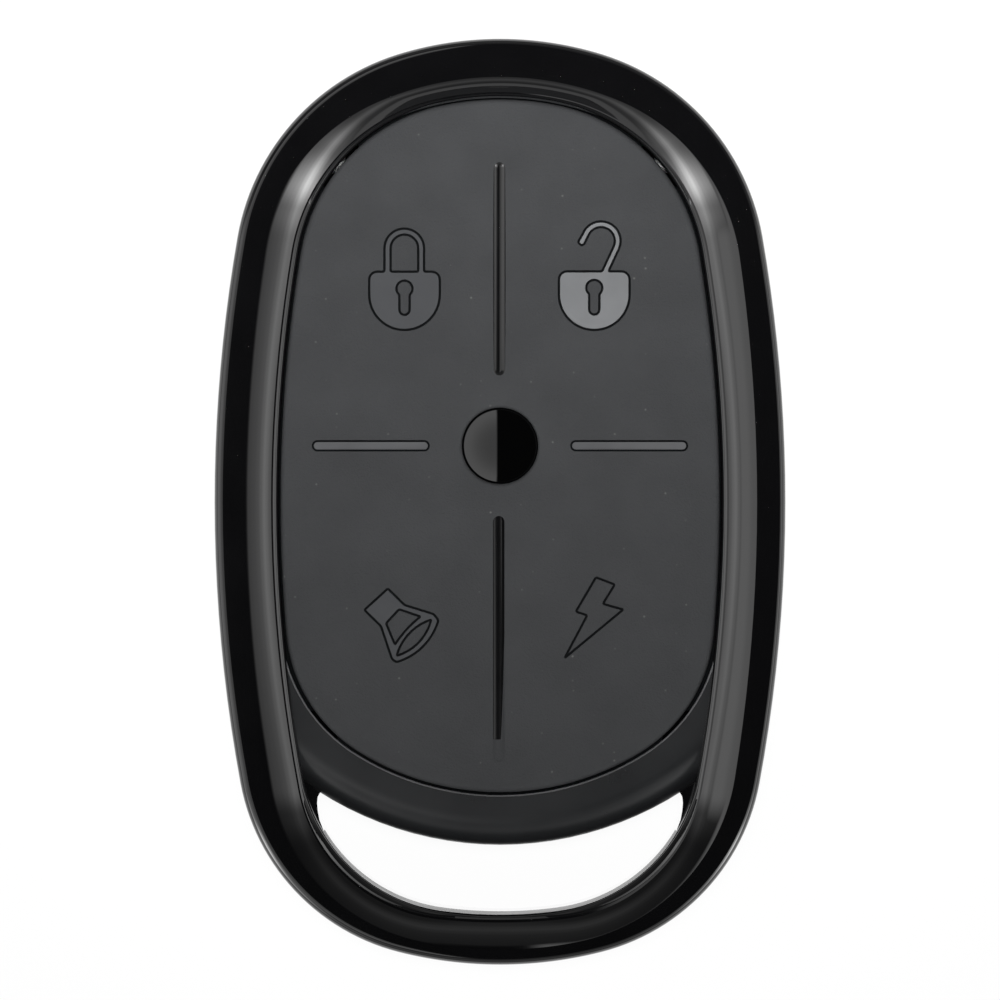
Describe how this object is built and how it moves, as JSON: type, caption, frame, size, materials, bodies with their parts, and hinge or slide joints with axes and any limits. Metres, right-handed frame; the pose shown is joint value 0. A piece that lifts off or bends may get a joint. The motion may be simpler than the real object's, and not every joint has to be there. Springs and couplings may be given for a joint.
{
  "type": "key fob remote control",
  "caption": "Oval key fob remote: glossy black bezel ring that runs on as a keyring loop, soft grey keypad with icon keys, sunk bars and a round centre lens.",
  "frame": {"origin": "on the flat back face, midway along and across the ring's outline", "axes": "+X across the fob towards the open-padlock key, +Y along it away from the keyring loop, +Z out of the back face towards the keys"},
  "size_m": [0.037, 0.06, 0.013],
  "materials": {
    "gloss_black_plastic": "polished",
    "silicone_grey": "fine matte",
    "smoked_lens": "polished",
    "lamp_resin": "clear resin",
    "board_laminate": "solder mask",
    "black_nylon": "moulded",
    "black_epoxy": "moulded",
    "nickel_plated_steel": "bright",
    "cell_steel": "satin",
    "tinned_metal": "bright",
    "screw_steel": "black nickel",
    "ceramic_package": "gold-plated lid",
    "tan_ceramic": "ceramic"
  },
  "bodies": {
    "case": {"front_shell": "gloss_black_plastic", "rear_shell": "gloss_black_plastic", "keypad_web": "silicone_grey", "status_lens": "smoked_lens", "status_led": "lamp_resin", "circuit_board": "board_laminate", "switch_housing_lock": "black_nylon", "switch_housing_unlock": "black_nylon", "switch_housing_siren": "black_nylon", "switch_housing_flash": "black_nylon", "switch_dome_lock": "nickel_plated_steel", "switch_dome_unlock": "nickel_plated_steel", "switch_dome_siren": "nickel_plated_steel", "switch_dome_flash": "nickel_plated_steel", "switch_covers": "nickel_plated_steel", "switch_terminals": "tinned_metal", "coin_cell": "cell_steel", "battery_clip": "nickel_plated_steel", "battery_contact": "nickel_plated_steel", "microcontroller": "black_epoxy", "microcontroller_pins": "tinned_metal", "saw_resonator": "ceramic_package", "quartz_crystal": "cell_steel", "rf_transistor": "black_epoxy", "chip_capacitors": "tan_ceramic", "chip_resistors": "black_epoxy", "case_screws": "screw_steel"},
    "lock_key": {"key_lock": "silicone_grey"},
    "lock_stem": {"switch_stem_lock": "black_nylon"},
    "unlock_key": {"key_unlock": "silicone_grey"},
    "unlock_stem": {"switch_stem_unlock": "black_nylon"},
    "siren_key": {"key_siren": "silicone_grey"},
    "siren_stem": {"switch_stem_siren": "black_nylon"},
    "flash_key": {"key_flash": "silicone_grey"},
    "flash_stem": {"switch_stem_flash": "black_nylon"}
  },
  "joints": [
    {"name": "lock_press", "type": "slide", "parent": "case", "child": "lock_key", "axis": [0, 0, -1], "range_m": [0, 0.0003], "stiffness_N_per_m": 3000},
    {"name": "unlock_press", "type": "slide", "parent": "case", "child": "unlock_key", "axis": [0, 0, -1], "range_m": [0, 0.0003], "stiffness_N_per_m": 3000},
    {"name": "siren_press", "type": "slide", "parent": "case", "child": "siren_key", "axis": [0, 0, -1], "range_m": [0, 0.0003], "stiffness_N_per_m": 3000},
    {"name": "flash_press", "type": "slide", "parent": "case", "child": "flash_key", "axis": [0, 0, -1], "range_m": [0, 0.0003], "stiffness_N_per_m": 3000},
    {"name": "lock_switch", "type": "slide", "parent": "case", "child": "lock_stem", "axis": [0, 0, -1], "range_m": [0, 0.0003], "deforming": ["switch_dome_lock"]},
    {"name": "unlock_switch", "type": "slide", "parent": "case", "child": "unlock_stem", "axis": [0, 0, -1], "range_m": [0, 0.0003], "deforming": ["switch_dome_unlock"]},
    {"name": "siren_switch", "type": "slide", "parent": "case", "child": "siren_stem", "axis": [0, 0, -1], "range_m": [0, 0.0003], "deforming": ["switch_dome_siren"]},
    {"name": "flash_switch", "type": "slide", "parent": "case", "child": "flash_stem", "axis": [0, 0, -1], "range_m": [0, 0.0003], "deforming": ["switch_dome_flash"]}
  ],
  "couplings": [
    {"joint": "lock_switch", "follows": "lock_press", "ratio": 1},
    {"joint": "unlock_switch", "follows": "unlock_press", "ratio": 1},
    {"joint": "siren_switch", "follows": "siren_press", "ratio": 1},
    {"joint": "flash_switch", "follows": "flash_press", "ratio": 1}
  ]
}
